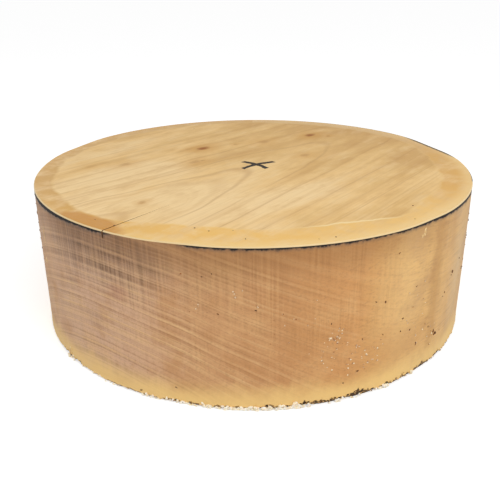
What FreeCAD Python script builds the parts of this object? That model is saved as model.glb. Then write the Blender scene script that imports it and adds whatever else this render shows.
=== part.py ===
import FreeCAD, Part
import math
import os

# Wood turning blank: a round bandsawn from a thick sawn hardwood plank, stock for a bowl on a lathe.
# Millimetres. Z is up, the origin is the centre of the lower sawn face, X runs along the grain.

# Stock size
BLANK_DIAMETER = 300.0
BLANK_THICKNESS = 100.0
BLANK_RADIUS = BLANK_DIAMETER / 2.0

# Bandsawn outline: a true round with shallow flats where the plank was fed straight past the blade.
# Each flat is an azimuth from the grain direction in degrees and how far it lies inside the round.
SAW_FLATS = (
    (105.0, 1.5),
    (203.0, 0.8),
    (260.0, 0.7),
    (328.0, 2.5),
)
# Radius of the soft turn between a flat and the round
FLAT_BLEND_RADIUS = 100.0

# Upper arris, softened by handling and by the wax brushed over it
UPPER_ARRIS_EASING = 0.6

# Lower arris, torn where the blade left the wood.
# Each bite is an azimuth in degrees, its width along the arris and its depth into the corner.
TORN_BITES = (
    (12.0, 9.0, 0.6),
    (47.0, 12.0, 0.8),
    (74.0, 8.0, 0.6),
    (128.0, 10.0, 0.7),
    (152.0, 15.0, 0.9),
    (168.0, 11.0, 1.0),
    (175.5, 8.0, 1.3),
    (187.0, 14.0, 1.2),
    (194.0, 9.0, 0.9),
    (213.0, 16.0, 1.3),
    (220.5, 9.0, 1.0),
    (229.0, 13.0, 1.1),
    (238.5, 10.0, 0.8),
    (247.0, 12.0, 1.0),
    (281.0, 9.0, 0.7),
    (296.0, 13.0, 0.9),
    (343.0, 8.0, 0.6),
)

# Drying check: one fine split along the grain, open at the wall and dying out inwards
CHECK_OFFSET = -13.3
CHECK_LENGTH = 54.0
CHECK_WIDTH = 0.8
CHECK_DEPTH = 4.0

# How far a cutting shape stands clear of the wood
CLEARANCE = 2.0


def point_at(azimuth, outward, across=0.0, height=0.0):
    """Point found by going outward along an azimuth, then across it counter-clockwise."""
    angle = math.radians(azimuth)
    x = outward * math.cos(angle) - across * math.sin(angle)
    y = outward * math.sin(angle) + across * math.cos(angle)
    return FreeCAD.Vector(x, y, height)


def flat_sizes(depth):
    """Half length of the straight part, and half angle taken from the round, of a flat this deep."""
    reach = BLANK_RADIUS - FLAT_BLEND_RADIUS
    half_line = math.sqrt(reach ** 2 - (reach - depth) ** 2)
    half_angle = math.atan2(half_line, reach - depth)
    return half_line, half_angle


def blend_arc(azimuth, depth, side):
    """Arc that leads from the round into a flat, on the side before it (-1) or after it (1)."""
    half_line, half_angle = flat_sizes(depth)
    centre_out = BLANK_RADIUS - FLAT_BLEND_RADIUS - depth
    centre_across = side * half_line
    points = []
    for angle in (half_angle, half_angle / 2.0, 0.0):
        out = centre_out + FLAT_BLEND_RADIUS * math.cos(angle)
        across = centre_across + side * FLAT_BLEND_RADIUS * math.sin(angle)
        points.append(point_at(azimuth, out, across))
    return Part.Arc(points[0], points[1], points[2]).toShape()


def flat_edges(azimuth, depth):
    """Blend, straight saw cut and blend of one flat."""
    half_line, half_angle = flat_sizes(depth)
    start = point_at(azimuth, BLANK_RADIUS - depth, -half_line)
    end = point_at(azimuth, BLANK_RADIUS - depth, half_line)
    line = Part.makeLine(start, end)
    return [blend_arc(azimuth, depth, -1), line, blend_arc(azimuth, depth, 1)]


def round_edge(flat, following):
    """Part of the true round between two neighbouring flats."""
    start = flat[0] + math.degrees(flat_sizes(flat[1])[1])
    end = following[0] - math.degrees(flat_sizes(following[1])[1])
    if end < start:
        end += 360.0
    middle = (start + end) / 2.0
    points = [point_at(azimuth, BLANK_RADIUS) for azimuth in (start, middle, end)]
    return Part.Arc(points[0], points[1], points[2]).toShape()


def sawn_outline():
    """Closed outline of the round with its flats."""
    edges = []
    for index, flat in enumerate(SAW_FLATS):
        following = SAW_FLATS[(index + 1) % len(SAW_FLATS)]
        edges.extend(flat_edges(flat[0], flat[1]))
        edges.append(round_edge(flat, following))
    return Part.Wire(Part.__sortEdges__(edges))


def arris_distance(azimuth):
    """Distance from the middle of the blank to its wall along an azimuth."""
    distance = BLANK_RADIUS
    for flat_azimuth, depth in SAW_FLATS:
        turn = math.radians(azimuth - flat_azimuth)
        if math.cos(turn) > 0.0:
            distance = min(distance, (BLANK_RADIUS - depth) / math.cos(turn))
    return distance


def sawn_round():
    """Round of full thickness with the upper arris eased."""
    face = Part.Face(sawn_outline())
    body = face.extrude(FreeCAD.Vector(0.0, 0.0, BLANK_THICKNESS))
    upper = [edge for edge in body.Edges if edge.BoundBox.ZMin > BLANK_THICKNESS - 0.01]
    return body.makeChamfer(UPPER_ARRIS_EASING, upper)


def torn_bite(azimuth, width, depth):
    """Ball that takes a shallow scoop out of the lower arris, set on the line at 45 degrees."""
    radius = (width ** 2 / 4.0 + depth ** 2) / (2.0 * depth)
    offset = (radius - depth) / math.sqrt(2.0)
    centre = point_at(azimuth, arris_distance(azimuth) + offset, 0.0, -offset)
    ball = Part.makeSphere(radius, centre)
    ball.rotate(centre, FreeCAD.Vector(0.0, 0.0, 1.0), azimuth)
    return ball


def drying_check():
    """Wedge of the split: a triangle outside the wall that narrows to a point along the grain."""
    start = -(BLANK_RADIUS + CLEARANCE)
    root = FreeCAD.Vector(start, CHECK_OFFSET, BLANK_THICKNESS - CHECK_DEPTH)
    grow = (CHECK_DEPTH + CLEARANCE) / CHECK_DEPTH
    rise = CHECK_DEPTH * grow
    half_width = CHECK_WIDTH / 2.0 * grow
    left = root + FreeCAD.Vector(0.0, -half_width, rise)
    right = root + FreeCAD.Vector(0.0, half_width, rise)
    tip = root + FreeCAD.Vector((CHECK_LENGTH + CLEARANCE) * grow, 0.0, rise)
    faces = []
    for corners in ((root, left, right), (root, tip, left), (root, right, tip), (left, tip, right)):
        faces.append(Part.Face(Part.makePolygon(list(corners) + [corners[0]])))
    return Part.makeSolid(Part.makeShell(faces))


def turning_blank():
    """The whole blank as one solid."""
    body = sawn_round()
    cutters = [torn_bite(azimuth, width, depth) for azimuth, width, depth in TORN_BITES]
    cutters.append(drying_check())
    body = body.cut(cutters)
    return body.Solids[0]


os.makedirs("parts", exist_ok=True)
blank = turning_blank()
blank.exportStep("parts/turning_blank.step")
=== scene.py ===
import math
import random
from functools import partial

import bpy
from mathutils import Color, Matrix, Vector, noise
from mathutils.bvhtree import BVHTree


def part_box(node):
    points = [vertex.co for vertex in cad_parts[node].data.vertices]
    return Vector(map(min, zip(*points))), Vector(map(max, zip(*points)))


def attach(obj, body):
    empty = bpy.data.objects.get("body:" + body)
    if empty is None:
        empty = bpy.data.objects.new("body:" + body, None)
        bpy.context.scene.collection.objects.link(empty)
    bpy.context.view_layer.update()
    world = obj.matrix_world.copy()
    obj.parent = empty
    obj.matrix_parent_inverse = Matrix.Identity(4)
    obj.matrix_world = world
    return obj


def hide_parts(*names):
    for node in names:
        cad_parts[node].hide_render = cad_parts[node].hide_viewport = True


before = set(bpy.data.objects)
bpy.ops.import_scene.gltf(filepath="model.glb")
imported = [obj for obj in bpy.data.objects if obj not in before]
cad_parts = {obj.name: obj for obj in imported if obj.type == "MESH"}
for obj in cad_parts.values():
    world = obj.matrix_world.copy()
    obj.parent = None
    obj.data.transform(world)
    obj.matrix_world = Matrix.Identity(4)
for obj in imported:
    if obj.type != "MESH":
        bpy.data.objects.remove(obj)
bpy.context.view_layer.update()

bl_info = {
    "name": "Wood turning blank",
    "version": (1, 0, 0),
    "blender": (4, 5, 0),
    "location": "3D View > Sidebar > Blank",
    "description": "Builds the visible wood, wax and ink of a bandsawn turning blank",
    "category": "Add Mesh",
}

NODE = "turning_blank"
BODY = "root"
MM = 0.001
LOW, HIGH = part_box(NODE)
BLANK_RADIUS = (HIGH.x - LOW.x) / 2.0
BLANK_HEIGHT = HIGH.z - LOW.z
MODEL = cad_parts[NODE]
MODEL_SURFACE = BVHTree.FromPolygons(
    [vertex.co.copy() for vertex in MODEL.data.vertices], [tuple(face.vertices) for face in MODEL.data.polygons]
)
# Turn of the photo's axes in the object's frame, whose X runs along the grain
PHOTO_TURN = math.radians(-52.0)
# Azimuth of the side that faces the camera, and the one at the end of a ramp round the blank, in degrees
PHOTO_SIDE = 218.0
FULL_RAMP = 400.0
# How far the camera looks aside, down and over from the middle of the blank, in radians
LOOK_ASIDE, LOOK_DOWN, LOOK_OVER = 0.0054, -0.0304, 0.0077
# Softboxes: name, place along the photo's axes, and size, in metres
SOFTBOXES = (("key", (0.42, -0.78, 0.72), 0.6), ("fill", (-0.85, -0.55, 0.5), 0.9))

# The pith lay this far to one side of the middle, in mm, and aslant by this much for each length
PITH_ASIDE = 6.0
PITH_SLANT = 0.025

# Rings that stand out: distance from the pith, half width, both in mm, and strength
DARK_RINGS = (
    (197.2, 0.16, 0.7), (199.8, 0.2, 0.7), (202.0, 0.2, 0.6), (205.6, 0.22, 0.6), (212.5, 0.3, 0.5),
    (223.0, 0.4, 0.5),
)
PALE_RINGS = (
    (121.5, 1.2, 0.6), (131.6, 1.0, 0.7), (143.2, 1.4, 0.95), (156.8, 1.2, 0.9), (176.5, 0.9, 0.5),
    (188.3, 1.0, 0.7),
)

# Pin knots: place on the top face along and across the grain, size, all in mm, and darkness
PIN_KNOTS = (
    (13.2, 59.5, 6.0, 1.0), (4.0, 67.0, 3.2, 0.14), (-5.0, 76.0, 2.8, 0.1), (99.2, 16.6, 5.4, 0.95),
    (106.0, 3.0, 2.0, 0.4), (-54.0, 74.6, 5.0, 0.34), (-18.7, 38.5, 5.4, 0.34), (-13.0, 36.0, 2.0, 0.42),
    (58.7, 34.0, 6.2, 0.34), (44.0, -15.0, 4.4, 0.34), (38.7, 47.3, 1.9, 0.35), (-103.5, 4.0, 2.2, 0.28),
    (-72.0, 90.0, 4.2, 0.12),
)

# How fast each pattern of the wood changes along the grain, across it and upward, for each mm:
# the rings' wander and their gaps, fibres about 30 mm long and 1 mm thick, clouds about 50 mm wide,
# blotches about 12 mm wide, and shallow saw marks about 2 mm apart on the faces
WANDER_GRAIN = (0.012, 0.022, 0.022)
GAP_GRAIN = (0.016, 0.035, 0.035)
FIBRE_GRAIN = (0.035, 0.9, 0.9)
CLOUD_GRAIN = (0.009, 0.02, 0.02)
BLOTCH_GRAIN = (0.035, 0.085, 0.085)
FACE_SAW_GRAIN = (0.5, 0.03, 0.03)
# The same on the wall, for bare patches about 20 mm wide and upright strokes of the wax brush
BARE_GRAIN = (0.05, 0.05, 0.03)
BRUSH_GRAIN = (0.05, 0.05, 0.025)

# Two felt-tip strokes: angle in degrees, half length in mm and how much each bows
CROSS_STROKES = ((-14.0, 14.0, 0.012), (82.0, 12.0, -0.014))
CROSS_MIDDLE = (2.5, -1.5, 100.0)
STROKE_WIDTH = 3.7

# How much the edge of the waxed band wanders, in mm
BAND_WANDER = 9.0
# Where the wax reaches further in from the rim: azimuth in degrees and how much in mm
WAX_LOBES = ((218.0, 12.0), (293.0, 8.0))

# Stain spots on the wall: azimuth in degrees, height, half width, half height in mm, and strength
STAIN_SPOTS = (
    (184.0, 80.0, 15.0, 16.0, 0.75), (188.0, 68.0, 10.0, 9.0, 0.55), (172.5, 62.0, 6.0, 14.0, 0.35),
    (179.0, 42.0, 13.0, 8.0, 0.25), (171.0, 82.0, 15.0, 12.0, 0.5), (20.0, 74.0, 30.0, 20.0, 0.5),
)

# Warmer patches on the wall: the same, and the colour
WARM_PATCHES = (
    (188.0, 64.7, 9.0, 7.0, 0.35, "B47757"), (253.0, 25.0, 34.0, 20.0, 0.5, "BE8443"),
    (285.0, 55.0, 30.0, 60.0, 0.3, "BC9660"),
)

# Streaks of the wax brush on the wall, and at 277 degrees a pale streak of painted sheen: azimuth in degrees,
# half width in mm, strength and colour
BRUSH_STREAKS_AND_SHEEN = (
    (252.0, 22.0, 0.2, "EBC68C"), (264.5, 8.0, 0.5, "B98645"), (277.0, 15.0, 0.32, "DCC294"),
    (84.0, 12.0, 0.45, "BC8A4C"),
)

# The saw flat with ink smeared over its upper arris: azimuth in degrees and depth in mm
INKED_FLAT = (328.0, 2.5)

# Name of the mesh attribute that marks torn wood
TORN = "torn"

FIGURE_PARTS = (
    "Dark rings", "Pale rings", "Bands", "Fine rings", "Fibres", "Knots", "Halo", "Clouds", "End grain",
)

# Specks of bark and dirt caught in the wax of the wall: azimuth in degrees, height and size in mm
WALL_SPECKS = (
    (273.5, 55.4, 1.9), (269.7, 44.7, 1.3), (247.3, 58.2, 1.2), (244.8, 59.9, 0.8), (253.0, 43.3, 1.1),
    (252.6, 35.2, 0.9), (255.8, 33.1, 0.9), (266.8, 19.4, 2.6), (265.9, 21.8, 1.8), (258.8, 21.1, 1.4),
    (263.3, 27.8, 1.0), (247.3, 37.5, 0.8), (241.9, 38.3, 0.8), (241.2, 17.7, 0.9), (237.8, 11.8, 0.7),
    (234.3, 51.9, 0.7), (250.0, 86.0, 0.8), (256.7, 60.6, 0.7), (283.7, 47.4, 1.6), (278.4, 59.5, 1.2),
    (210.7, 61.1, 0.8), (218.5, 63.7, 0.8), (200.7, 10.5, 0.9), (191.9, 3.1, 1.2), (209.7, 84.4, 0.7),
    (207.6, 82.3, 0.7), (144.5, 93.0, 1.3), (146.0, 88.0, 1.0), (147.0, 82.5, 1.5), (147.5, 76.0, 1.1),
    (148.0, 71.0, 1.4), (147.0, 64.5, 1.0), (148.5, 59.0, 1.2), (149.5, 52.0, 1.0), (151.0, 66.0, 0.9),
    (153.0, 74.0, 0.8), (287.0, 82.0, 1.2), (288.5, 76.0, 1.5), (287.8, 66.0, 1.3), (289.0, 58.0, 1.1),
    (286.5, 50.0, 1.2), (288.0, 43.0, 1.0), (33.0, 41.0, 1.6), (71.0, 22.0, 1.2), (98.0, 63.0, 0.9),
    (118.0, 30.0, 1.4), (326.0, 52.0, 1.1), (348.0, 24.0, 1.5),
)

# Specks on the top face: place along and across the grain and size in mm
FACE_SPECKS = (
    (-116.5, -50.7, 1.1), (-115.1, -59.8, 1.0), (-106.8, -69.7, 0.5), (-140.7, 2.9, 0.8),
    (-12.0, -129.0, 1.0), (-31.9, -139.6, 0.8), (-81.3, -118.4, 1.0), (-112.0, -82.5, 0.8),
    (-89.0, -112.9, 0.6), (-140.5, -12.9, 1.2), (60.0, 112.0, 0.7),
)

# Stretches where the lower arris is more torn: azimuth, half width, both in degrees, and how much
RAGGED_STRETCHES = (
    (208.0, 30.0, 0.4), (238.0, 20.0, 0.7), (266.0, 26.0, 0.65), (172.0, 16.0, 0.5), (130.0, 20.0, 0.25),
    (300.0, 16.0, 0.25), (45.0, 20.0, 0.25),
)

# Wax crumbs along the foot: azimuth, spread, both in degrees, how many and the largest half size in mm
CRUMB_CLUMPS = (
    (227.5, 1.1, 34, 1.05), (224.3, 1.0, 26, 0.95), (221.0, 0.9, 26, 1.1), (217.5, 1.2, 30, 0.9),
    (213.0, 1.6, 30, 0.8), (208.0, 1.8, 28, 0.7), (202.5, 2.2, 24, 0.6), (195.0, 2.6, 16, 0.55),
    (236.5, 0.55, 14, 1.0), (249.0, 0.45, 12, 1.25), (257.7, 0.4, 7, 0.8), (243.0, 2.5, 8, 0.5),
    (166.5, 0.7, 12, 1.0), (181.0, 4.0, 10, 0.5), (320.0, 18.0, 18, 0.7), (30.0, 14.0, 16, 0.7),
    (95.0, 20.0, 18, 0.7),
)

# Grains of dust on the wall, the pale ones painted glints of the wax: azimuth in degrees, height, spread in mm
# and how many
WALL_DUST_AND_GLINTS = (
    (235.7, 41.9, 6.0, 20), (244.7, 27.9, 7.0, 20), (240.4, 24.2, 7.0, 20), (233.0, 32.3, 7.0, 16),
    (256.0, 45.0, 16.0, 16), (264.0, 24.0, 10.0, 12), (214.5, 74.6, 3.0, 4), (206.2, 62.8, 2.0, 3),
    (219.1, 65.2, 1.0, 2), (201.5, 69.1, 1.0, 1), (203.1, 83.8, 1.0, 1), (207.1, 67.0, 5.0, 5),
    (226.0, 55.0, 14.0, 12),
)

# What a dust spread in mm is divided by, for a turn in degrees and a rise in mm
DUST_TURN, DUST_RISE = 4.2, 1.6

# Height on the wall just above the torn arris, where crumbs and splinters find the wall
ABOVE_TEAR = 5.0 * MM
# Splinters: how many, the share on the torn side, and its azimuths: first, last and most likely
SPLINTERS = 420
SPLINTER_SHARE = 0.72
SPLINTER_SIDE = (168.0, 292.0, 214.0)

# Drips of wax: azimuth in degrees, top and bottom height and half width in mm
DRIPS = (
    (258.0, 96.5, 91.0, 1.1), (257.2, 92.6, 90.4, 0.8), (156.8, 82.0, 69.0, 0.8), (155.6, 60.0, 55.5, 1.2),
    (166.7, 7.5, 3.0, 2.2), (65.0, 90.0, 62.0, 1.1), (310.0, 80.0, 66.0, 1.0), (110.0, 96.0, 88.0, 1.2),
)

# Corners of the wedge that cuts the drying split, in mm: low, left and right at the wall, and the tip
SPLIT_CORNERS = (
    (-152.0, -13.3, 96.0), (-152.0, -13.9, 102.0), (-152.0, -12.7, 102.0), (-68.0, -13.3, 102.0),
)

# Mesh of the blank: points round the outline, rows up the torn foot and the wall, rings in to the middle, in mm
SEGMENTS = 1500
FOOT_ROWS = (0.3, 0.6, 0.9, 1.2, 1.5, 1.8, 2.15, 2.5, 3.0, 3.7, 4.7, 6.2, 8.5)
WALL_ROWS = 12
TOP_RINGS = (0.9, 3.0, 12.0, 60.0)
BASE_RINGS = (0.4, 0.9, 1.5, 2.3, 3.5, 6.0, 14.0, 60.0)
# Closer than this two points are one, and a height is the floor's
TOUCHING = 1e-6


def hex_linear(code):
    """Linear red, green and blue of an sRGB hex colour."""
    parts = [int(code[i:i + 2], 16) / 255.0 for i in (0, 2, 4)]
    return tuple(c / 12.92 if c <= 0.04045 else ((c + 0.055) / 1.055) ** 2.4 for c in parts)


def number_property(name, description, default, **more):
    """A number a user may change."""
    return bpy.props.FloatProperty(name=name, description=description, default=default, **more)


def length_property(name, description, default_mm):
    """A length a user may change, given in millimetres."""
    return number_property(name, description, default_mm * MM, min=0.0, unit="LENGTH", precision=5)


def colour_property(name, description, code):
    """A colour a user may change, given as sRGB hex."""
    return bpy.props.FloatVectorProperty(
        name=name, description=description, default=hex_linear(code), size=3, subtype="COLOR", min=0.0, max=1.0
    )


class BlankSizes(bpy.types.PropertyGroup):
    """Sizes of the wood's figure, the saw marks and the wax."""

    ring_spacing: length_property("Ring spacing", "Distance between growth rings", 3.9)
    pith_depth: length_property("Pith depth", "How far the pith lay below the lower face", 100.0)
    ring_taper: number_property("Ring taper", "How much the rings close in along the grain", 0.022)
    saw_pitch: length_property("Saw pitch", "Distance between the saw lines on the wall", 1.5)
    saw_wave: length_property("Saw wave", "Depth of the broad waves the blade left", 0.35)
    torn_height: length_property("Torn height", "How far up the wall the lower arris is torn", 4.8)
    undercut: length_property("Undercut", "How far in the lower arris is torn", 1.1)
    arris_easing: length_property("Arris easing", "Width of the eased upper arris", 0.6)
    band_width: length_property("Wax band", "Mean width of the waxed band on the top face", 17.0)
    ink_height: length_property("Ink line", "Height of the felt-tip line under the upper arris", 1.2)


class BlankColours(bpy.types.PropertyGroup):
    """Colours of the wood, the wax and the ink."""

    face_pale: colour_property("Face, pale", "Palest wood of the sawn faces", "EEC788")
    face_ring: colour_property("Face, rings", "Growth ring lines on the sawn faces", "BE8A48")
    wall_golden: colour_property("Wall, side grain", "Waxed side grain of the wall", "DCAE6C")
    wall_brown: colour_property("Wall, end grain", "Waxed end grain of the wall", "C68F59")
    wall_ring: colour_property("Wall, rings", "Growth ring lines on the wall", "A6774B")
    stain: colour_property("Stain", "Grey-brown stain on the end grain", "66492F")
    knot: colour_property("Knots", "Heart of the pin knots", "9C5D14")
    ink: colour_property("Ink", "Felt-tip ink", "0C0B10")
    wax: colour_property("Wax", "Wax crumbs", "F3DFBA")
    bark: colour_property("Bark", "Specks of bark and dirt", "3E2616")


class StageSettings(bpy.types.PropertyGroup):
    """Camera and light of the studio."""

    lens: number_property("Focal length", "Camera focal length in mm on a 36 mm sensor", 47.4)
    distance: length_property("Distance", "From the middle of the blank to the camera", 490.0)
    elevation: number_property(
        "Elevation", "Camera height as an angle", math.radians(21.59), subtype="ANGLE", unit="ROTATION"
    )
    key_power: number_property("Key light", "Power in watts", 4.6)
    fill_power: number_property("Fill light", "Power in watts", 1.6)
    sky: number_property("Sky", "Strength of the even light", 0.6)


def deselect():
    """Nothing selected and no active object left in edit mode."""
    if bpy.context.object and bpy.context.object.mode != "OBJECT":
        bpy.ops.object.mode_set(mode="OBJECT")
    bpy.ops.object.select_all(action="DESELECT")


def make_active(piece):
    """Only this piece selected and active."""
    deselect()
    piece.select_set(True)
    bpy.context.view_layer.objects.active = piece


def edit(piece, action="DESELECT"):
    """Edit mode on one piece with nothing selected, or with all of it."""
    make_active(piece)
    bpy.ops.object.mode_set(mode="EDIT")
    bpy.ops.mesh.select_mode(type="FACE")
    bpy.ops.mesh.select_all(action=action)


def select_base(piece):
    """Selects, in edit mode, the faces that lie on the floor."""
    bpy.ops.mesh.select_all(action="DESELECT")
    bpy.ops.object.mode_set(mode="OBJECT")
    for face in piece.data.polygons:
        face.select = face.center.z < TOUCHING
    bpy.ops.object.mode_set(mode="EDIT")


def put_in_scene(name, data):
    """Object with this data, linked to the scene."""
    thing = bpy.data.objects.new(name, data)
    bpy.context.scene.collection.objects.link(thing)
    return thing


def apply_modifiers(piece):
    """Applies every modifier of a piece, in order."""
    make_active(piece)
    for modifier in list(piece.modifiers):
        bpy.ops.object.modifier_apply(modifier=modifier.name)


def out_along(azimuth):
    """Level direction outward, from an azimuth in degrees."""
    turn = math.radians(azimuth)
    return Vector((math.cos(turn), math.sin(turn), 0.0))


def on_wall(azimuth, height, outward=0.0):
    """Point on the wall, from an azimuth in degrees, a height and a distance outward in metres."""
    direction = out_along(azimuth)
    start = direction * (BLANK_RADIUS * 1.5) + Vector((0.0, 0.0, height))
    place = MODEL_SURFACE.ray_cast(start, -direction)[0]
    if place is None:
        raise RuntimeError(f"no wall at azimuth {azimuth} and height {height}")
    return place + direction * outward


# Node trees

# Kinds of node that come most, each with the setting that SETTINGS names
NOISE = "TexNoise"
RAMP = "ValToRGB"
RANGE = "MapRange"
SMOOTH = "MapRange SMOOTHSTEP"
MIX = "Mix RGBA"
PLUS = "Math ADD"
MINUS = "Math SUBTRACT"
TIMES = "Math MULTIPLY"
TIMES_PLUS = "Math MULTIPLY_ADD"
HIGHER = "Math MAXIMUM"
STRETCH = "VectorMath MULTIPLY"
LENGTH = "VectorMath LENGTH"
DOT = "VectorMath DOT_PRODUCT"
SETTINGS = {
    "Math": "operation", "VectorMath": "operation", "MapRange": "interpolation_type", "Mix": "data_type",
    "TexNoise": "noise_dimensions", "VectorRotate": "rotation_type", "Attribute": "attribute_name",
}
WHITE = (1.0, 1.0, 1.0, 1.0)


def as_rgba(value):
    """A hex code or a colour property as a shader socket takes it, and any other value as it is."""
    if isinstance(value, (str, Color)):
        return (*(hex_linear(value) if isinstance(value, str) else value), 1.0)
    return value


def add_node(tree, kind, *values, stops=(), **named):
    """Adds a node of a kind such as "Math ADD", with its inputs in order or by name, and a ramp's stops."""
    name, *setting = kind.split(" ")
    node = tree.nodes.new(name if name.startswith("Node") else "ShaderNode" + name)
    if setting:
        setattr(node, SETTINGS[name], setting[0])
    sockets = [socket for socket in node.inputs if socket.enabled]
    given = list(zip(sockets, values))
    given += [(next(s for s in sockets if s.name == key), value) for key, value in named.items()]
    for socket, value in given:
        if isinstance(value, bpy.types.Node):
            value = next(output for output in value.outputs if output.enabled)
        if isinstance(value, bpy.types.NodeSocket):
            tree.links.new(value, socket)
        else:
            socket.default_value = as_rgba(value)
    ramp = node.color_ramp.elements if stops else ()
    while len(ramp) < len(stops):
        ramp.new(1.0)
    for element, (position, value) in zip(ramp, stops):
        element.position = position
        element.color = (value, value, value, 1.0) if isinstance(value, float) else as_rgba(value)
    return node


def masked(add, share, *steps):
    """A pattern taken through steps, each the stops of a ramp or a mask to multiply by."""
    for step in steps:
        if isinstance(step, tuple):
            share = add(RAMP, share, stops=step)
        else:
            share = add(TIMES, share, step)
    return share


def layered(add, colour, *layers):
    """A colour with others laid over it in order, each with a pattern and steps that say how much."""
    for over, pattern, *steps in layers:
        colour = add(MIX, masked(add, pattern, *steps), colour, over)
    return colour


def highest(add, *shares):
    """The highest of several patterns."""
    most = 0.0
    for share in shares:
        most = add(HIGHER, most, share)
    return most


def place_in_mm(add):
    """Object coordinates in millimetres."""
    return add("VectorMath SCALE", add("TexCoord").outputs["Object"], 1.0 / MM)


def near(add, place, centre, half_sizes):
    """Distance from a spot, 1 at the edge of an egg shape with these half sizes in mm."""
    away = add("VectorMath SUBTRACT", place, centre)
    away = add(STRETCH, away, tuple(1.0 / size for size in half_sizes))
    return add(LENGTH, away)


def near_wall(add, place, azimuth, height, wide, tall):
    """Distance from a spot on the wall, from its azimuth in degrees and its height and half sizes in mm."""
    centre = out_along(azimuth) * (BLANK_RADIUS / MM) + Vector((0.0, 0.0, height))
    return near(add, place, centre, (wide, wide, tall))


def sycamore_figure(sizes):
    """Growth rings, fibres and pin knots of one plank, as a solid pattern that every face cuts."""
    tree = bpy.data.node_groups.new("sycamore figure", "ShaderNodeTree")
    add = partial(add_node, tree)
    for name in FIGURE_PARTS:
        tree.interface.new_socket(name, in_out="OUTPUT", socket_type="NodeSocketFloat")
    place = place_in_mm(add)
    x, y, z = add("SeparateXYZ", place).outputs
    pith_depth = sizes.pith_depth / MM

    # Distance from the pith, which runs below the plank, a little aslant to the long edge
    offset = add("CombineXYZ", 0.0, add(TIMES_PLUS, x, PITH_SLANT, y), z)
    offset = add("VectorMath ADD", offset, (0.0, PITH_ASIDE, pith_depth))
    radius = add(TIMES_PLUS, x, sizes.ring_taper, add(LENGTH, offset))
    wander = add(NOISE, add(STRETCH, place, WANDER_GRAIN), 1.0, 2.0)
    radius = add(MINUS, add(TIMES_PLUS, wander, 1.8, radius), 0.9)

    # Knots grow straight out from the pith, so they are found in a plane scaled to the top face
    spread = add("Math DIVIDE", (BLANK_HEIGHT + sizes.pith_depth) / MM, add(PLUS, z, pith_depth))
    on_top = add("CombineXYZ", x, add(TIMES, y, spread))
    wobble = add(NOISE, place, 0.16, 2.0).outputs["Color"]
    wobble = add("VectorMath MULTIPLY_ADD", wobble, (4.0, 4.0, 0.0), (-2.0, -2.0, 0.0))
    on_top = add("VectorMath ADD", on_top, wobble)
    cores, glows = [], []
    for along, across, size, darkness in PIN_KNOTS:
        away = near(add, on_top, (along, across, 0.0), (size * 1.5, size, 1000.0))
        cores.append(add(SMOOTH, away, 0.95, 0.15, 0.0, darkness))
        glows.append(add(SMOOTH, away, 3.2, 0.4, 0.0, 0.3 + 0.7 * darkness))
    knots, halo = highest(add, *cores), highest(add, *glows)
    radius = add(TIMES_PLUS, halo, -0.9, radius)

    # Rings come and go along their length
    broken = add(NOISE, add(STRETCH, place, GAP_GRAIN), 1.0, 3.0)
    broken = add(RANGE, broken, 0.36, 0.6, 0.3)

    # A few rings stand out dark or pale, the rest are soft bands of uneven width
    marked = []
    for rings in (DARK_RINGS, PALE_RINGS):
        lines = []
        for ring, width, strength in rings:
            away = add("Math ABSOLUTE", add(MINUS, radius, ring))
            lines.append(add(SMOOTH, away, width, 0.0, 0.0, strength))
        marked.append(add(TIMES, highest(add, *lines), broken))
    steps = add("Math DIVIDE", radius, sizes.ring_spacing / MM)
    bands = add(MINUS, add("TexNoise 1D", steps, 0.95, 2.0, 0.6), 0.5)
    bands = add(TIMES_PLUS, bands, broken, 0.5)
    fine = add("TexNoise 1D", steps, 3.2, 3.0, 0.6)
    fibres = add(NOISE, add(STRETCH, place, FIBRE_GRAIN), 1.0, 4.0, 0.65)
    clouds = add(NOISE, add(STRETCH, place, CLOUD_GRAIN), 1.0, 3.0, 0.55)

    # Share of end grain: whole where the wall crosses the grain, none where it runs along it
    level = add("VectorMath NORMALIZE", add(STRETCH, place, (1.0, 1.0, 0.0)))
    across = add("SeparateXYZ", level).outputs["X"]
    end = add(TIMES, across, across)
    add("NodeGroupOutput", *marked, bands, fine, fibres, knots, halo, clouds, end)
    return tree


def empty_tree(owner):
    """Function that adds nodes to the emptied node tree of a material or a world."""
    owner.use_nodes = True
    owner.node_tree.nodes.clear()
    return partial(add_node, owner.node_tree)


def start_wood(name, figure):
    """New material, its add, the place in mm, the azimuth from 38 to 398, its share, and the figure."""
    material = bpy.data.materials.new(name)
    add = empty_tree(material)
    place = place_in_mm(add)
    facing = add("VectorRotate Z_AXIS", place, Angle=math.radians(-PHOTO_SIDE))
    x, y, z = add("SeparateXYZ", facing).outputs
    azimuth = add(TIMES_PLUS, add("Math ARCTAN2", y, x), 180.0 / math.pi, PHOTO_SIDE)
    wood = add("Group")
    wood.node_tree = figure
    return material, add, place, azimuth, add(TIMES, azimuth, 1.0 / FULL_RAMP), wood.outputs


def surface(add, colour, rough, relief, **finish):
    """Shader with these inputs, as the material's surface."""
    shader = add("BsdfPrincipled", colour, Roughness=rough, Normal=relief, **finish)
    add("OutputMaterial", shader)


def centre_cross(add, place, wobble):
    """Two plain felt-tip strokes that cross at the middle of the top face."""
    strokes = []
    for angle, length, bow in CROSS_STROKES:
        offset = add("VectorRotate Z_AXIS", place, CROSS_MIDDLE, math.radians(-angle))
        x, y, z = add("SeparateXYZ", add("VectorMath SUBTRACT", offset, CROSS_MIDDLE)).outputs
        along = add("Math ABSOLUTE", x)
        aside = add(TIMES_PLUS, add(TIMES, along, along), bow, y)
        aside = add("Math ABSOLUTE", add(PLUS, aside, wobble))
        inside = add(RANGE, along, length + 0.5, length)
        beside = add(RANGE, aside, STROKE_WIDTH / 2.0 + 0.25, STROKE_WIDTH / 2.0)
        strokes.append(add(TIMES, inside, beside))
    return highest(add, *strokes)


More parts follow.
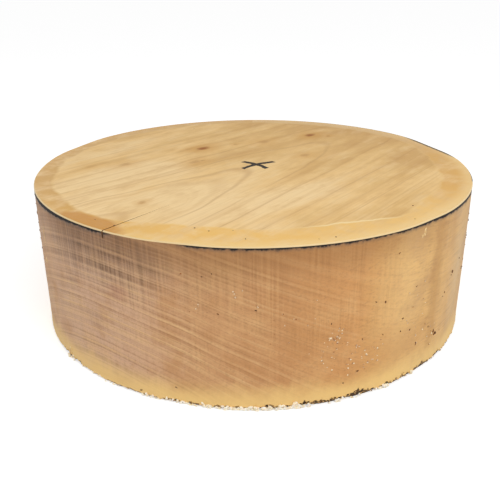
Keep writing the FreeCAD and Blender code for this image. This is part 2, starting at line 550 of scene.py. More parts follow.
def sawn_face_material(sizes, colours, figure):
    """Sawn face: matt and pale, with soft rings, pin knots and a waxed golden band round the rim."""
    # Air-dried sycamore off the saw. The dry face scatters light, so it is matt and honey pale.
    # Where wax has soaked in round the rim the wood is deeper, more golden and a little glossy.
    material, add, place, azimuth, around, wood = start_wood("sycamore, sawn face", figure)
    out_from = add(LENGTH, add(STRETCH, place, (1.0, 1.0, 0.0)))

    # Tone in clouds, paler towards the side at -X as painted sheen, and blotches where the fibres lie
    # differently
    tone_and_sheen = add(TIMES_PLUS, add(DOT, place, (-0.95, 0.05, 0.0)), 0.0014, wood["Clouds"])
    colour = add(RAMP, tone_and_sheen, stops=((0.3, "CEA05C"), (0.42, "E2B873"), (0.52, "F2CA88"), (0.66, "FBDBA4")))
    blotch = add(NOISE, add(STRETCH, place, BLOTCH_GRAIN), 1.0, 4.0, 0.68)

    # Wax band: its inner edge wanders and reaches further in on two sides
    reach = 0.0
    for angle, lobe_mm in WAX_LOBES:
        lobe = add("Math DIVIDE", add(DOT, place, out_along(angle)), out_from)
        reach = add(PLUS, reach, add(SMOOTH, lobe, 0.74, 0.97, 0.0, lobe_mm))
    edge = add(NOISE, place, 0.045, 3.0, 0.6)
    depth = add(PLUS, out_from, add(TIMES_PLUS, edge, BAND_WANDER, reach))
    inner = (BLANK_RADIUS - sizes.band_width) / MM + BAND_WANDER
    band = add(SMOOTH, depth, inner - 2.0, inner + 1.6)
    mottle = add(NOISE, place, 0.07, 4.0, 0.6)
    golden = add(
        RAMP, around,
        stops=((0.36, "D3A250"), (0.42, "D7A244"), (0.5, "EFBC5C"), (0.66, "EFC06A"), (0.72, "DDA542"),
               (0.79, "DAA544"), (0.86, "DBB06A")),
    )
    # Painted highlight: a pale rim on the face, strongest round the front and right side, azimuth about 208 to
    # 312 degrees
    rim = add(SMOOTH, out_from, 139.0, 148.5, 0.0, 0.6)
    facing = add(RAMP, around, stops=((0.36, 0.0), (0.46, 0.3), (0.52, 1.0), (0.78, 1.0), (0.84, 0.4)))

    # Painted highlight: a thin pale line along the inner edge of the wax band, brightest on one side; and a
    # patch of thick brown wax
    band_edge_highlight = near(add, place, (-62.0, -119.0, 100.0), (34.0, 26.0, 20.0))
    band_edge_highlight = add(RANGE, band_edge_highlight, 1.15, 0.5, 0.1, 0.75)
    patch = add(TIMES_PLUS, edge, 0.8, near(add, place, (-147.0, 3.0, 100.0), (11.0, 27.0, 20.0)))
    patch = add(RANGE, patch, 1.5, 1.2, 0.0, 0.9)
    colour = layered(
        add, colour,
        (colours.face_pale, 0.25),
        ("CC9E5E", blotch, ((0.5, 0.0), (0.7, 0.34))),
        ("F7D9A6", blotch, ((0.32, 0.34), (0.5, 0.0))),
        (colours.face_ring, wood["Bands"], ((0.52, 0.0), (0.68, 0.16))),
        ("F8D8A0", wood["Bands"], ((0.34, 0.16), (0.5, 0.0))),
        ("A8733A", wood["Dark rings"], 0.45),
        (colours.face_ring, wood["Fine rings"], ((0.5, 0.0), (0.72, 0.22))),
        ("B98848", wood["Fibres"], ((0.5, 0.0), (0.78, 0.3))),
        ("CC9238", wood["Halo"], 0.6),
        (colours.knot, wood["Knots"]),
        (golden, mottle, ((0.38, 0.4), (0.58, 1.0)), band),
        # painted highlight round the rim
        ("F6D28C", rim, facing),
        # painted highlight along the inner edge of the wax band
        ("FBE2A8", band, ((0.0, 0.0), (0.35, 1.0), (0.75, 1.0), (1.0, 0.0)), band_edge_highlight),
        ("C98818", patch, band),
    )

    # Felt-tip ink: the cross on the top face, and a smear over its far edge
    wobble = add(TIMES_PLUS, add(NOISE, place, 0.22, 2.0), 2.4, -1.2)
    smear = add(TIMES_PLUS, wobble, 0.7, add(DOT, place, out_along(INKED_FLAT[0])))
    edge_mm = BLANK_RADIUS / MM - INKED_FLAT[1]
    smear = add(RANGE, smear, edge_mm - 3.6, edge_mm - 2.2)
    window = masked(add, around, ((0.775, 0.0), (0.79, 0.85), (0.84, 0.8), (0.865, 0.0)))
    behind = masked(add, around, ((0.85, 0.0), (0.865, 0.55), (0.95, 0.45), (0.97, 0.0)))
    ink = highest(
        add, centre_cross(add, place, wobble), add(TIMES, smear, window),
        add(TIMES, add(RANGE, out_from, 148.2, 149.0), behind),
    )
    above = add("Math GREATER_THAN", add("SeparateXYZ", place).outputs["Z"], 50.0)
    ink = masked(add, ink, above, 0.97)
    colour = add(MIX, ink, colour, colours.ink)

    # Dry sawn wood about 0.62 rough, waxed wood about 0.42, both rubbed unevenly
    rough = add(RANGE, band, 0.0, 1.0, 0.66, 0.4)
    rough = add(TIMES_PLUS, add(NOISE, place, 0.08, 4.0, 0.6), 0.16, rough)
    rough = add(HIGHER, rough, ink)

    # Relief of the fibres and the saw marks
    saw = add(NOISE, add(STRETCH, place, FACE_SAW_GRAIN), 1.0, 2.0, 0.6)
    relief = add(PLUS, wood["Fibres"], saw)
    surface(add, colour, rough, add("Bump", 0.45, 0.25 * MM, Height=relief), IOR=1.5)
    return material


def waxed_wall_material(sizes, colours, figure):
    """Bandsawn wall under brushed wax, with its saw lines, stain, golden foot and felt-tip line."""
    # Sycamore cut by a bandsaw blade running up and down, then sealed with clear wax: brown end
    # grain with clear rings, golden side grain, a soft gloss, and a foot gilded by gathered wax and by painted
    # light of the floor's bounce.
    material, add, place, azimuth, around, wood = start_wood("sycamore, bandsawn and waxed", figure)
    z = add("SeparateXYZ", place).outputs["Z"]
    mottle = add(NOISE, place, 0.05, 4.0, 0.62)
    crumbly = add(NOISE, place, 0.65, 3.0, 0.7)

    # From side grain to end grain, in uneven clouds
    share = add(TIMES, add(TIMES_PLUS, mottle, 0.25, wood["End grain"]), 0.8)
    colour = add(
        RAMP, share,
        stops=((0.1, colours.wall_golden), (0.164, "E7B870"), (0.3, "D2985A"),
               (0.5, colours.wall_brown), (0.756, "CC9A6A"), (0.9, "D3AA8A")),
    )

    # Rings show on the end grain and fade towards the side grain, cut into dashes by the saw lines
    pitch = MM / sizes.saw_pitch
    lines = add(NOISE, add(STRETCH, place, (pitch, pitch, 0.02)), 1.0, 1.5, 0.6)
    dashes = add(RAMP, lines, stops=((0.38, 0.55), (0.6, 1.0)))
    seen = add(RANGE, wood["End grain"], 0.2, 0.9, 0.22)
    dashed = add(TIMES, seen, dashes)
    pale = add(HIGHER, masked(add, wood["Bands"], ((0.34, 0.42), (0.49, 0.0))), wood["Pale rings"])

    # Saw lines upright and a tooth's pitch apart, clearest high up on the side that faces forward
    clear = add(RANGE, near_wall(add, place, 231.0, 80.0, 58.0, 40.0), 1.2, 0.3, 0.16)
    bare = add(NOISE, add(STRETCH, place, BARE_GRAIN), 1.0, 2.0)
    bare = masked(add, bare, ((0.4, 0.15), (0.62, 1.0)), clear)

    # Painted shade: darker under the upper arris, fading out between about 250 and 340 degrees
    shade = add(SMOOTH, add(TIMES_PLUS, mottle, 16.0, z), 82.0, 107.0, 0.0, 0.62)
    shade_fade = add(RAMP, around, stops=((0.63, 1.0), (0.68, 0.15), (0.76, 0.15), (0.85, 1.0)))

    # Grey-brown stain that hangs from the arris over the end grain and follows rings and saw lines
    streaks = add(TIMES_PLUS, mottle, 34.0, add(TIMES_PLUS, lines, 14.0, z))
    window = add(
        RAMP, around,
        stops=((0.34, 0.1), (0.41, 0.35), (0.43, 1.0), (0.485, 0.9), (0.505, 0.35), (0.57, 0.0)),
    )
    stains = [add(TIMES, add(SMOOTH, streaks, 80.0, 112.0), window)]
    for *spot, depth in STAIN_SPOTS:
        away = add(TIMES_PLUS, mottle, 1.1, near_wall(add, place, *spot))
        stains.append(add(SMOOTH, away, 1.6, 0.7, 0.0, depth))
    rings = masked(add, wood["Bands"], ((0.4, 0.4), (0.58, 1.0)), dashes)
    colour = layered(
        add, colour,
        ("B57F48", mottle, ((0.36, 0.32), (0.5, 0.0))),
        ("E4B577", mottle, ((0.5, 0.0), (0.66, 0.3))),
        (colours.wall_ring, wood["Bands"], ((0.5, 0.0), (0.66, 0.52)), dashed),
        ("E3B983", pale, seen),
        ("976638", wood["Fine rings"], ((0.5, 0.0), (0.72, 0.6)), dashed),
        ("9F7448", wood["Fibres"], ((0.5, 0.0), (0.72, 0.45))),
        (colours.knot, wood["Knots"], 0.5),
        ("976735", lines, ((0.5, 0.0), (0.66, 0.36)), bare),
        ("E8BD7E", lines, ((0.34, 0.2), (0.48, 0.0)), bare),
        # painted shade under the upper arris
        ("996630", shade, shade_fade),
        (colours.stain, highest(add, *stains), rings, 0.88),
    )

    # Reddish patch on the end grain, and honey-coloured wood low on the side grain
    for *spot, strength, code in WARM_PATCHES:
        patch = add(RANGE, near_wall(add, place, *spot), 1.1, 0.2, 0.0, strength)
        colour = add(MIX, patch, colour, code)

    # Brown and clouded upright streaks, where the brush lifted, and one pale upright streak of painted sheen
    for angle, wide, strength, code in BRUSH_STREAKS_AND_SHEEN:
        away = add(TIMES_PLUS, mottle, 1.6, near_wall(add, place, angle, 52.0, wide, 70.0))
        colour = add(MIX, add(SMOOTH, away, 1.9, 1.0, 0.0, strength), colour, code)

    # Wax gathered along the foot leaves it golden, with painted light of the floor's bounce in the same band,
    # and the torn arris is dark with pale fibre tips, darkened further as painted shade in the undercut
    foot = add(SMOOTH, add(TIMES_PLUS, mottle, -14.0, z), 13.0, -3.0, 0.0, 0.85)
    torn_wood_and_shade = add(RAMP, crumbly, stops=((0.5, "2E1908"), (0.62, "5F3917"), (0.74, "AC7C42")))
    torn = masked(add, add("Attribute " + TORN).outputs["Fac"], ((0.25, 0.0), (0.5, 0.95)))

    # Felt-tip line along the upper arris, with a grey smear under it
    ragged = add(NOISE, place, 0.34, 3.0, 0.62)
    wavering = add(TIMES, add(TIMES_PLUS, ragged, 3.0, azimuth), 1.0 / FULL_RAMP)
    drawn = add(
        RAMP, wavering,
        stops=((0.345, 0.0), (0.36, 1.0), (0.468, 1.0), (0.473, 0.0), (0.51, 0.0), (0.513, 1.0),
               (0.93, 1.0), (0.965, 0.0)),
    )
    # Painted highlight: a pale line along the eased upper arris, below azimuth 292 degrees, kept clear of ink
    arris = add("Math GREATER_THAN", z, (BLANK_HEIGHT - sizes.arris_easing) / MM - 0.1)
    arris = add(TIMES, arris, add("Math LESS_THAN", azimuth, 292.0))
    drawn = add(MINUS, drawn, arris)
    drawn.use_clamp = True
    broad = add(RAMP, around, stops=((0.4, 1.0), (0.465, 0.15), (0.62, 0.1), (0.7, 0.7)))
    level = add(TIMES_PLUS, broad, 2.0, add(TIMES_PLUS, ragged, 3.4, z))
    lowest = (BLANK_HEIGHT - sizes.ink_height) / MM + 1.7
    smear = add(SMOOTH, level, lowest - 2.6, lowest, 0.0, 0.4)
    line = masked(add, add(RANGE, level, lowest - 0.7, lowest + 0.2), drawn, 0.97)
    colour = layered(
        # golden foot partly painted floor bounce, torn arris partly painted shade
        add, colour, ("F0CA80", foot), (torn_wood_and_shade, torn), ("4A4644", smear, drawn), (colours.ink, line),
        # painted highlight on the eased upper arris
        ("F2D7A0", arris, 0.8),
    )

    # Brushed wax: about 0.3 to 0.5 rough, smoother where it lies thick
    rub = add(NOISE, add(STRETCH, place, BRUSH_GRAIN), 1.0, 4.0, 0.6)
    rough = add(HIGHER, add(RANGE, rub, 0.3, 0.7, 0.36, 0.56), line)
    relief = add(TIMES_PLUS, lines, bare, wood["Fibres"])
    relief = add(TIMES_PLUS, torn, crumbly, relief)
    relief = add("Bump", 0.6, 0.4 * MM, Height=relief)
    surface(add, colour, rough, relief, IOR=1.45, **{"Coat Weight": 0.12, "Coat Roughness": 0.3})
    return material


def crumb_material(name, first, second, roughness, scattering=0.0):
    """Small broken matter in two mixed colours."""
    material = bpy.data.materials.new(name)
    add = empty_tree(material)
    place = place_in_mm(add)
    colour = masked(add, add(NOISE, place, 0.7, 3.0, 0.6), ((0.4, first), (0.6, second)))
    fine = add(NOISE, place, 3.0, 2.0, 0.6)
    rough = add(RANGE, fine, 0.3, 0.7, roughness - 0.08, roughness + 0.08)
    surface(
        add, colour, rough, add("Bump", 0.5, 0.15 * MM, Height=fine), IOR=1.44,
        **{"Subsurface Weight": scattering, "Subsurface Radius": (1.0, 0.8, 0.5), "Subsurface Scale": 0.6 * MM},
    )
    return material


# Pieces


def shrink_to_model(piece, name, group=""):
    """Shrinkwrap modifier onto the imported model, whole or by a vertex group."""
    wrap = piece.modifiers.new(name, "SHRINKWRAP")
    wrap.target = MODEL
    wrap.wrap_method = "NEAREST_SURFACEPOINT"
    wrap.vertex_group = group


def wall_outline():
    """N-gon that takes the sawn outline from the model at mid height, then lies on the floor."""
    deselect()
    bpy.ops.mesh.primitive_circle_add(
        vertices=SEGMENTS, radius=BLANK_RADIUS + 2.0 * MM, fill_type="NGON",
        location=(0.0, 0.0, BLANK_HEIGHT / 2.0),
    )
    piece = bpy.context.object
    piece.name = "blank"
    shrink_to_model(piece, "outline")
    apply_modifiers(piece)
    piece.location.z = 0.0
    bpy.ops.object.transform_apply(location=True, rotation=True, scale=True)
    return piece


def raise_wall(easing):
    """Wall in rows, close together at the torn foot, and the eased upper arris."""
    heights = [row * MM for row in FOOT_ROWS]
    top = BLANK_HEIGHT - easing
    start = heights[-1]
    heights += [start + (top - 4.0 * MM - start) * (i + 1) / WALL_ROWS for i in range(WALL_ROWS)]
    heights += [top - 2.4 * MM, top - 1.2 * MM, top]
    below = 0.0
    for height in heights:
        bpy.ops.mesh.extrude_region_move(TRANSFORM_OT_translate={"value": (0.0, 0.0, height - below)})
        below = height
    step_in(BLANK_RADIUS, easing, easing)


def step_in(radius, width, rise=0.0):
    """Extrudes the selected round face, draws it in towards the middle and lifts it."""
    bpy.ops.mesh.extrude_region_move(TRANSFORM_OT_translate={"value": (0.0, 0.0, rise)})
    share = (radius - width) / radius
    bpy.ops.transform.resize(value=(share, share, 1.0), center_override=(0.0, 0.0, 0.0))
    return radius - width


def fill_face(radius, rings):
    """Rings towards the middle of the selected round face, closed in a fan."""
    for width in rings:
        radius = step_in(radius, width * MM)
    bpy.ops.mesh.poke()


def weigh(piece, name, weight):
    """Vertex group whose weight is a function of the vertex's place."""
    group = piece.vertex_groups.new(name=name)
    for vertex in piece.data.vertices:
        value = weight(vertex.co)
        if value > 0.0:
            group.add([vertex.index], value, "REPLACE")


def displace(piece, name, group, strength, middle, size_mm, depth, contrast=1.0):
    """Displace modifier along the normal, by cloud noise of a grain size in mm and by a vertex group."""
    texture = bpy.data.textures.new(name, "CLOUDS")
    texture.noise_scale = size_mm * MM
    texture.noise_depth = depth
    texture.contrast = contrast
    modifier = piece.modifiers.new(name, "DISPLACE")
    modifier.vertex_group = group
    modifier.strength = strength
    modifier.mid_level = middle
    modifier.texture = texture
    modifier.texture_coords = "LOCAL"


def keep_above_floor(piece):
    """Lifts what lies under the floor onto it."""
    for vertex in piece.data.vertices:
        vertex.co.z = max(vertex.co.z, 0.0)


def azimuth_of(place):
    """Azimuth of a place, in degrees from 0 to 360."""
    return math.degrees(math.atan2(place.y, place.x)) % 360.0


def ragged_share(azimuth):
    """How torn the lower arris is, by azimuth in degrees."""
    share = 0.22
    for centre, width, amount in RAGGED_STRETCHES:
        away = abs((azimuth - centre + 180.0) % 360.0 - 180.0)
        share += amount * max(0.0, 1.0 - (away / width) ** 2)
    return min(share, 1.0)


def torn_height(azimuth, deepest):
    """How far up the wall the arris is torn away: jagged like broken fibres, in metres."""
    rim = out_along(azimuth) * (BLANK_RADIUS / MM)
    broad = noise.noise(rim * 0.11)
    jagged = noise.noise(rim * 0.42 + Vector((40.0, 0.0, 5.0)))
    fine = noise.noise(rim * 1.1 + Vector((0.0, 60.0, 9.0)))
    return max(0.0, 0.5 + 0.55 * broad + 0.55 * jagged + 0.3 * fine) * ragged_share(azimuth) * deepest


def torn_weight(place, deepest):
    """Weight of the undercut: whole below the torn edge, and gone a third of a millimetre above it."""
    inward = 1.0 - (BLANK_RADIUS - math.hypot(place.x, place.y)) / (4.0 * MM)
    if place.z > deepest * 2.0 or inward <= 0.0:
        return 0.0
    up = (torn_height(azimuth_of(place), deepest) - place.z) / (0.35 * MM) + 0.5
    return max(0.0, min(up, inward, 1.0))


def tear_arris(piece, deepest, undercut):
    """Draws the foot in below the torn edge, lifts a thin lip above it, and marks the torn wood."""
    weights = []
    for vertex in piece.data.vertices:
        weight = torn_weight(vertex.co, deepest)
        weights.append(weight)
        if weight == 0.0 and (vertex.co.z < TOUCHING or vertex.co.z > deepest * 2.0):
            continue
        height = torn_height(azimuth_of(vertex.co), deepest)
        lip = math.exp(-((vertex.co.z - height - 0.5 * MM) / (0.4 * MM)) ** 2) * 0.25 * MM
        deeper = 0.55 + 0.45 * (1.0 - min(vertex.co.z / max(height, MM), 1.0))
        radius = math.hypot(vertex.co.x, vertex.co.y)
        share = 1.0 + ((1.0 - weight) * lip - weight * undercut * deeper) / radius
        vertex.co.x *= share
        vertex.co.y *= share
    marks = piece.data.attributes.new(TORN, "FLOAT", "POINT")
    marks.data.foreach_set("value", weights)


def foot_weight(place):
    """Weight of the foot: full at the corner, gone 4 mm up the wall or 6 mm under the face."""
    up = 1.0 - place.z / (4.0 * MM)
    inward = 1.0 - (BLANK_RADIUS - math.hypot(place.x, place.y)) / (6.0 * MM)
    return max(0.0, min(up, inward, 1.0)) * ragged_share(azimuth_of(place))


def wall_weight(place):
    """Weight of the broad saw waves: the wall only, faded out at both arrises."""
    if math.hypot(place.x, place.y) < BLANK_RADIUS - 4.0 * MM:
        return 0.0
    low = place.z / (6.0 * MM)
    high = (BLANK_HEIGHT - place.z) / (1.2 * MM) - 0.4
    return max(0.0, min(low, high, 1.0))


def cut_check(piece):
    """Fine drying split along the grain, cut with a wedge."""
    deselect()
    bpy.ops.mesh.primitive_cone_add(vertices=3, radius1=1.0, radius2=0.0, depth=1.0, end_fill_type="NGON")
    wedge = bpy.context.object
    ring = sorted((v for v in wedge.data.vertices if v.co.z < 0.0), key=lambda v: math.atan2(v.co.y, v.co.x))
    tip = next(v for v in wedge.data.vertices if v.co.z > 0.0)
    for vertex, corner in zip(ring + [tip], SPLIT_CORNERS):
        vertex.co = Vector(corner) * MM
    edit(wedge, "SELECT")
    bpy.ops.mesh.normals_make_consistent(inside=False)
    cut = piece.modifiers.new("check", "BOOLEAN")
    cut.operation = "DIFFERENCE"
    cut.solver = "EXACT"
    cut.object = wedge
    apply_modifiers(piece)
    bpy.data.objects.remove(wedge)


def material_of(face):
    """Which material a face of the blank has: 0 sawn face, 1 waxed wall, 2 inside of the split."""
    low, left, right, tip = (Vector(corner) * MM for corner in SPLIT_CORNERS)
    x, y, z = face.center
    in_split = left.y < y < right.y and x < tip.x and low.z < z < BLANK_HEIGHT - 10.0 * TOUCHING
    if in_split and abs(face.normal.z) < 0.6:
        return 2
    half = BLANK_HEIGHT / 2.0
    flat = abs(face.normal.z) > 0.95 and abs(z - half) > half * 0.98
    return 0 if flat or math.hypot(x, y) < BLANK_RADIUS - 6.0 * MM else 1


class BLANK_OT_body(bpy.types.Operator):
    """Round of wood with its saw marks, torn lower arris and drying check"""

    bl_idname = "blank.body"
    bl_label = "Blank"

    def execute(self, context):
        sizes, colours = context.scene.blank_sizes, context.scene.blank_colours
        piece = wall_outline()
        edit(piece, "SELECT")
        raise_wall(sizes.arris_easing)
        fill_face(BLANK_RADIUS - sizes.arris_easing, TOP_RINGS)
        select_base(piece)
        fill_face(BLANK_RADIUS, BASE_RINGS)
        bpy.ops.mesh.select_all(action="SELECT")
        bpy.ops.mesh.remove_doubles(threshold=TOUCHING)
        bpy.ops.mesh.normals_make_consistent(inside=False)
        bpy.ops.object.mode_set(mode="OBJECT")

        weigh(piece, "wall", wall_weight)
        weigh(piece, "foot", foot_weight)
        shrink_to_model(piece, "bites", "foot")
        displace(piece, "saw waves", "wall", sizes.saw_wave, 0.55, 9.0, 1)
        displace(piece, "fibre ends", "foot", 0.5 * MM, 0.6, 1.8, 3, 1.6)
        apply_modifiers(piece)
        keep_above_floor(piece)
        tear_arris(piece, sizes.torn_height, sizes.undercut)
        cut_check(piece)
        bpy.ops.object.shade_smooth_by_angle(angle=math.radians(38.0))
        piece.vertex_groups.clear()

        figure = sycamore_figure(sizes)
        piece.data.materials.clear()
        piece.data.materials.append(sawn_face_material(sizes, colours, figure))
        piece.data.materials.append(waxed_wall_material(sizes, colours, figure))
        # Inside of the split: dark brown as painted shade of the narrow crack
        piece.data.materials.append(crumb_material("sycamore, open check in painted shade", "4A2E14", "8A5C2C", 0.8))
        for face in piece.data.polygons:
            face.material_index = material_of(face)
        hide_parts(NODE)
        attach(piece, BODY)
        return {"FINISHED"}


def begin_scatter(name):
    """Empty mesh piece in edit mode, to which small shapes are added."""
    deselect()
    piece = put_in_scene(name, bpy.data.meshes.new(name))
    edit(piece)
    return piece


def finish_scatter(piece, jitter_mm, smooth, *crumbled):
    """Roughens the small shapes, and gives the piece its crumbled material and its body."""
    bpy.ops.mesh.select_all(action="SELECT")
    bpy.ops.transform.vertex_random(offset=jitter_mm * MM, uniform=0.0, normal=0.0, seed=3)
    bpy.ops.object.mode_set(mode="OBJECT")
    keep_above_floor(piece)
    if smooth:
        make_active(piece)
        bpy.ops.object.shade_smooth_by_angle(angle=math.radians(60.0))
    piece.data.materials.append(crumb_material(*crumbled))
    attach(piece, BODY)
    return {"FINISHED"}


def crumb(place, azimuth, size, subdivisions=1, tilt=0.0):
    """One broken crumb: size is its half extent outward, along the wall and upward, before the tilt."""
    bpy.ops.mesh.primitive_ico_sphere_add(
        subdivisions=subdivisions, radius=1.0, location=place, scale=size,
        rotation=(tilt, 0.0, math.radians(azimuth)),
    )


class BLANK_OT_wax_crumbs(bpy.types.Operator):
    """White crumbs of wax and sawdust along the torn lower arris"""

    bl_idname = "blank.wax_crumbs"
    bl_label = "Wax crumbs"

    def execute(self, context):
        dice = random.Random(11)
        piece = begin_scatter("wax_crumbs")
        for azimuth, spread, count, largest in CRUMB_CLUMPS:
            for index in range(count):
                turn = azimuth + dice.gauss(0.0, spread)
                size = dice.triangular(0.45, largest * 1.55, 0.75) * MM
                place = on_wall(turn, ABOVE_TEAR, dice.uniform(-0.1, 1.0) * MM)
                place.z = abs(dice.gauss(0.0, 0.95)) * MM + size * 0.45
                shape = [size * dice.uniform(*span) for span in ((0.5, 1.0), (0.8, 1.5), (0.55, 0.95))]
                crumb(place, turn, shape)
        wax = context.scene.blank_colours.wax
        return finish_scatter(piece, 0.26, False, "paraffin wax, crumbled", wax, "FDF8EC", 0.5, 0.3)


class BLANK_OT_dust_and_glints(bpy.types.Operator):
    """Grains of wood dust that stick to the wall, and pale grains as painted glints of the wax"""

    bl_idname = "blank.wood_dust"
    bl_label = "Dust and glints"

    def execute(self, context):
        dice = random.Random(21)
        piece = begin_scatter("wood_dust")
        for azimuth, height, spread_mm, count in WALL_DUST_AND_GLINTS:
            for index in range(count):
                turn = azimuth + dice.gauss(0.0, spread_mm / DUST_TURN)
                size = dice.triangular(0.22, 0.8, 0.34) * MM
                place = on_wall(turn, (height + dice.gauss(0.0, spread_mm / DUST_RISE)) * MM, size * 0.1)
                crumb(place, turn, (size * 0.5, size, size * dice.uniform(0.6, 1.4)))
        # Dark grains are specks of wood dust; pale grains are painted glints
        return finish_scatter(piece, 0.12, False, "wood dust in wax", "9A5F28", "FBE8C2", 0.5, 0.2)


class BLANK_OT_torn_fibres(bpy.types.Operator):
    """Splinters that hang from the torn lower arris"""

    bl_idname = "blank.torn_fibres"
    bl_label = "Torn fibres"

    def execute(self, context):
        dice = random.Random(5)
        piece = begin_scatter("torn_fibres")
        deepest = context.scene.blank_sizes.torn_height
        for index in range(SPLINTERS):
            on_side = dice.random() < SPLINTER_SHARE
            azimuth = dice.triangular(*SPLINTER_SIDE) if on_side else dice.uniform(0.0, 360.0)
            place = on_wall(azimuth, ABOVE_TEAR, dice.uniform(-0.75, 0.05) * MM)
            place.z = torn_height(azimuth, deepest) * dice.uniform(0.35, 1.0) + 0.1 * MM
            length = dice.triangular(0.7, 3.4, 1.1) * MM
            droop = math.radians(dice.triangular(60.0, 150.0, 100.0))
            thick = dice.uniform(0.14, 0.36) * MM
            turn = math.radians(azimuth + dice.choice((90.0, -90.0)) + dice.gauss(0.0, 22.0))
            bpy.ops.mesh.primitive_cone_add(
                vertices=5, radius1=thick, radius2=0.04 * MM, depth=length,
                location=place, rotation=(0.0, droop, turn),
            )
        return finish_scatter(piece, 0.07, False, "sycamore, torn fibres", "7A5530", "DDB77C", 0.7)


class BLANK_OT_bark_specks(bpy.types.Operator):
    """Dark specks of bark and dirt caught in the wax"""

    bl_idname = "blank.bark_specks"
    bl_label = "Bark specks"

    def execute(self, context):
        dice = random.Random(8)
        piece = begin_scatter("bark_specks")
        for azimuth, height, size_mm in WALL_SPECKS:
            size = size_mm * MM / 2.0
            for part in range(5 if size_mm > 1.2 else 2):
                turn = azimuth + part * dice.uniform(-0.3, 0.3)
                place = on_wall(turn, (height + part * dice.uniform(-0.5, 0.5)) * MM, size * 0.05)
                share = 1.0 if part == 0 else dice.uniform(0.3, 0.65)
                shape = (size * 0.45 * share, size * 1.2 * share, size * 0.7 * share)
                crumb(place, turn, shape, 2, dice.uniform(0.0, math.pi))
        for x, y, size_mm in FACE_SPECKS:
            size = size_mm * MM / 2.0
            place = Vector((x * MM, y * MM, BLANK_HEIGHT + size * 0.05))
            crumb(place, dice.uniform(0.0, 180.0), (size, size * 0.8, size * 0.35), 2)
        bark = context.scene.blank_colours.bark
        return finish_scatter(piece, 0.2, False, "bark, crumbled", bark, "7A4A22", 0.75)


class BLANK_OT_wax_drips(bpy.types.Operator):
    """Set drips and runs of wax on the wall"""

    bl_idname = "blank.wax_drips"
    bl_label = "Wax drips"

    def execute(self, context):
        piece = begin_scatter("wax_drips")
        for azimuth, top, bottom, width in DRIPS:
            middle, half = (top + bottom) / 2.0 * MM, (top - bottom) / 2.0 * MM
            bpy.ops.mesh.primitive_uv_sphere_add(
                segments=16, ring_count=12, radius=1.0, location=on_wall(azimuth, middle, -0.1 * MM),
                rotation=(0.0, 0.0, math.radians(azimuth)), scale=(0.33 * width * MM, width * MM, half),
            )
        return finish_scatter(piece, 0.05, True, "paraffin wax, set drips", "D8AF70", "EED09A", 0.28, 0.4)


# Stage


def turned(place):
    """A place given along the photo's axes, in the object's frame."""
    return Matrix.Rotation(PHOTO_TURN, 3, "Z") @ Vector(place)


def photo_camera(settings):
    """Camera where the photo was taken from, looking a little off the middle of the blank."""
    up = settings.elevation
    aim = Vector((0.0, math.cos(up), -math.sin(up)))
    right = Vector((1.0, 0.0, 0.0))
    turn = Matrix((right, right.cross(aim), -aim)).transposed()
    turn = Matrix.Rotation(LOOK_ASIDE, 3, "Z") @ turn
    turn = Matrix.Rotation(LOOK_DOWN, 3, turn.col[0]) @ turn
    turn = Matrix.Rotation(LOOK_OVER, 3, -turn.col[2]) @ turn
    turn = Matrix.Rotation(PHOTO_TURN, 3, "Z") @ turn
    place = turned(aim * -settings.distance)
    place.z += BLANK_HEIGHT / 2.0
    data = bpy.data.cameras.new("photo camera")
    data.lens = settings.lens
    data.sensor_width = 36.0
    data.clip_start = 0.01
    data.clip_end = 200.0
    camera = put_in_scene("photo camera", data)
    camera.matrix_world = Matrix.Translation(place) @ turn.to_4x4()
    bpy.context.scene.camera = camera


def softbox(name, place, size, power):
    """Square area lamp that faces the middle of the blank."""
    data = bpy.data.lights.new(name, "AREA")
    data.shape = "SQUARE"
    data.size = size
    data.energy = power
    lamp = put_in_scene(name, data)
    lamp.location = place
    lamp.rotation_mode = "QUATERNION"
    lamp.rotation_quaternion = (place - Vector((0.0, 0.0, BLANK_HEIGHT / 2.0))).to_track_quat("Z", "Y")


def studio_floor():
    """Plain pale floor that keeps the blank's shadow and meets a white background."""
    deselect()
    bpy.ops.mesh.primitive_plane_add(size=60.0, location=(0.0, 0.0, -0.1 * MM))
    floor = bpy.context.object
    floor.name = "floor"
    material = bpy.data.materials.new("studio floor")
    add = empty_tree(material)
    ray = add("LightPath").outputs
    matt = add("BsdfDiffuse", (0.8, 0.8, 0.8, 1.0))
    seen = add("AddShader", matt, add("Emission", WHITE, 0.5))
    add("OutputMaterial", add("MixShader", ray["Is Camera Ray"], matt, seen))
    floor.data.materials.append(material)


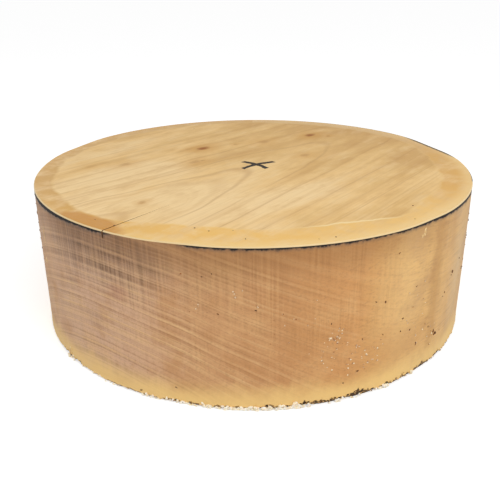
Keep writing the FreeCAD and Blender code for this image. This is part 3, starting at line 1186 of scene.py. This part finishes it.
def studio_sky(strength):
    """Even light all round, seen as plain white."""
    bpy.context.scene.world = bpy.data.worlds.new("studio")
    add = empty_tree(bpy.context.scene.world)
    ray = add("LightPath").outputs
    seen = highest(add, ray["Is Camera Ray"], ray["Is Glossy Ray"], ray["Is Transmission Ray"])
    lit, white = (add("Background", WHITE, power) for power in (strength, 1.0))
    add("OutputWorld", add("MixShader", seen, lit, white))


class BLANK_OT_stage(bpy.types.Operator):
    """Pale floor, soft studio light and the camera at the photo's angle"""

    bl_idname = "blank.stage"
    bl_label = "Stage"

    def execute(self, context):
        settings = context.scene.blank_stage
        studio_floor()
        studio_sky(settings.sky)
        for (name, place, size), power in zip(SOFTBOXES, (settings.key_power, settings.fill_power)):
            softbox(name, turned(place), size, power)
        photo_camera(settings)
        context.scene.view_settings.view_transform = "Standard"
        return {"FINISHED"}


OPERATORS = (
    BLANK_OT_body, BLANK_OT_wax_crumbs, BLANK_OT_dust_and_glints, BLANK_OT_torn_fibres, BLANK_OT_bark_specks,
    BLANK_OT_wax_drips, BLANK_OT_stage,
)
GROUPS = {"blank_sizes": BlankSizes, "blank_colours": BlankColours, "blank_stage": StageSettings}


class BLANK_PT_panel(bpy.types.Panel):
    """Pieces of the turning blank"""

    bl_idname = "BLANK_PT_panel"
    bl_label = "Wood turning blank"
    bl_space_type = "VIEW_3D"
    bl_region_type = "UI"
    bl_category = "Blank"

    def draw(self, context):
        for operator in OPERATORS:
            self.layout.operator(operator.bl_idname)
        for group in GROUPS:
            settings = getattr(context.scene, group)
            box = self.layout.box()
            for name in settings.__annotations__:
                box.prop(settings, name)


CLASSES = (*GROUPS.values(), *OPERATORS, BLANK_PT_panel)


def register():
    for kind in CLASSES:
        bpy.utils.register_class(kind)
    for name, kind in GROUPS.items():
        setattr(bpy.types.Scene, name, bpy.props.PointerProperty(type=kind))


def unregister():
    for name in GROUPS:
        delattr(bpy.types.Scene, name)
    for kind in reversed(CLASSES):
        bpy.utils.unregister_class(kind)


def main():
    register()
    bpy.ops.blank.body()
    bpy.ops.blank.wax_crumbs()
    bpy.ops.blank.wood_dust()
    bpy.ops.blank.torn_fibres()
    bpy.ops.blank.bark_specks()
    bpy.ops.blank.wax_drips()
    bpy.ops.blank.stage()


if __name__ == "__main__":
    main()
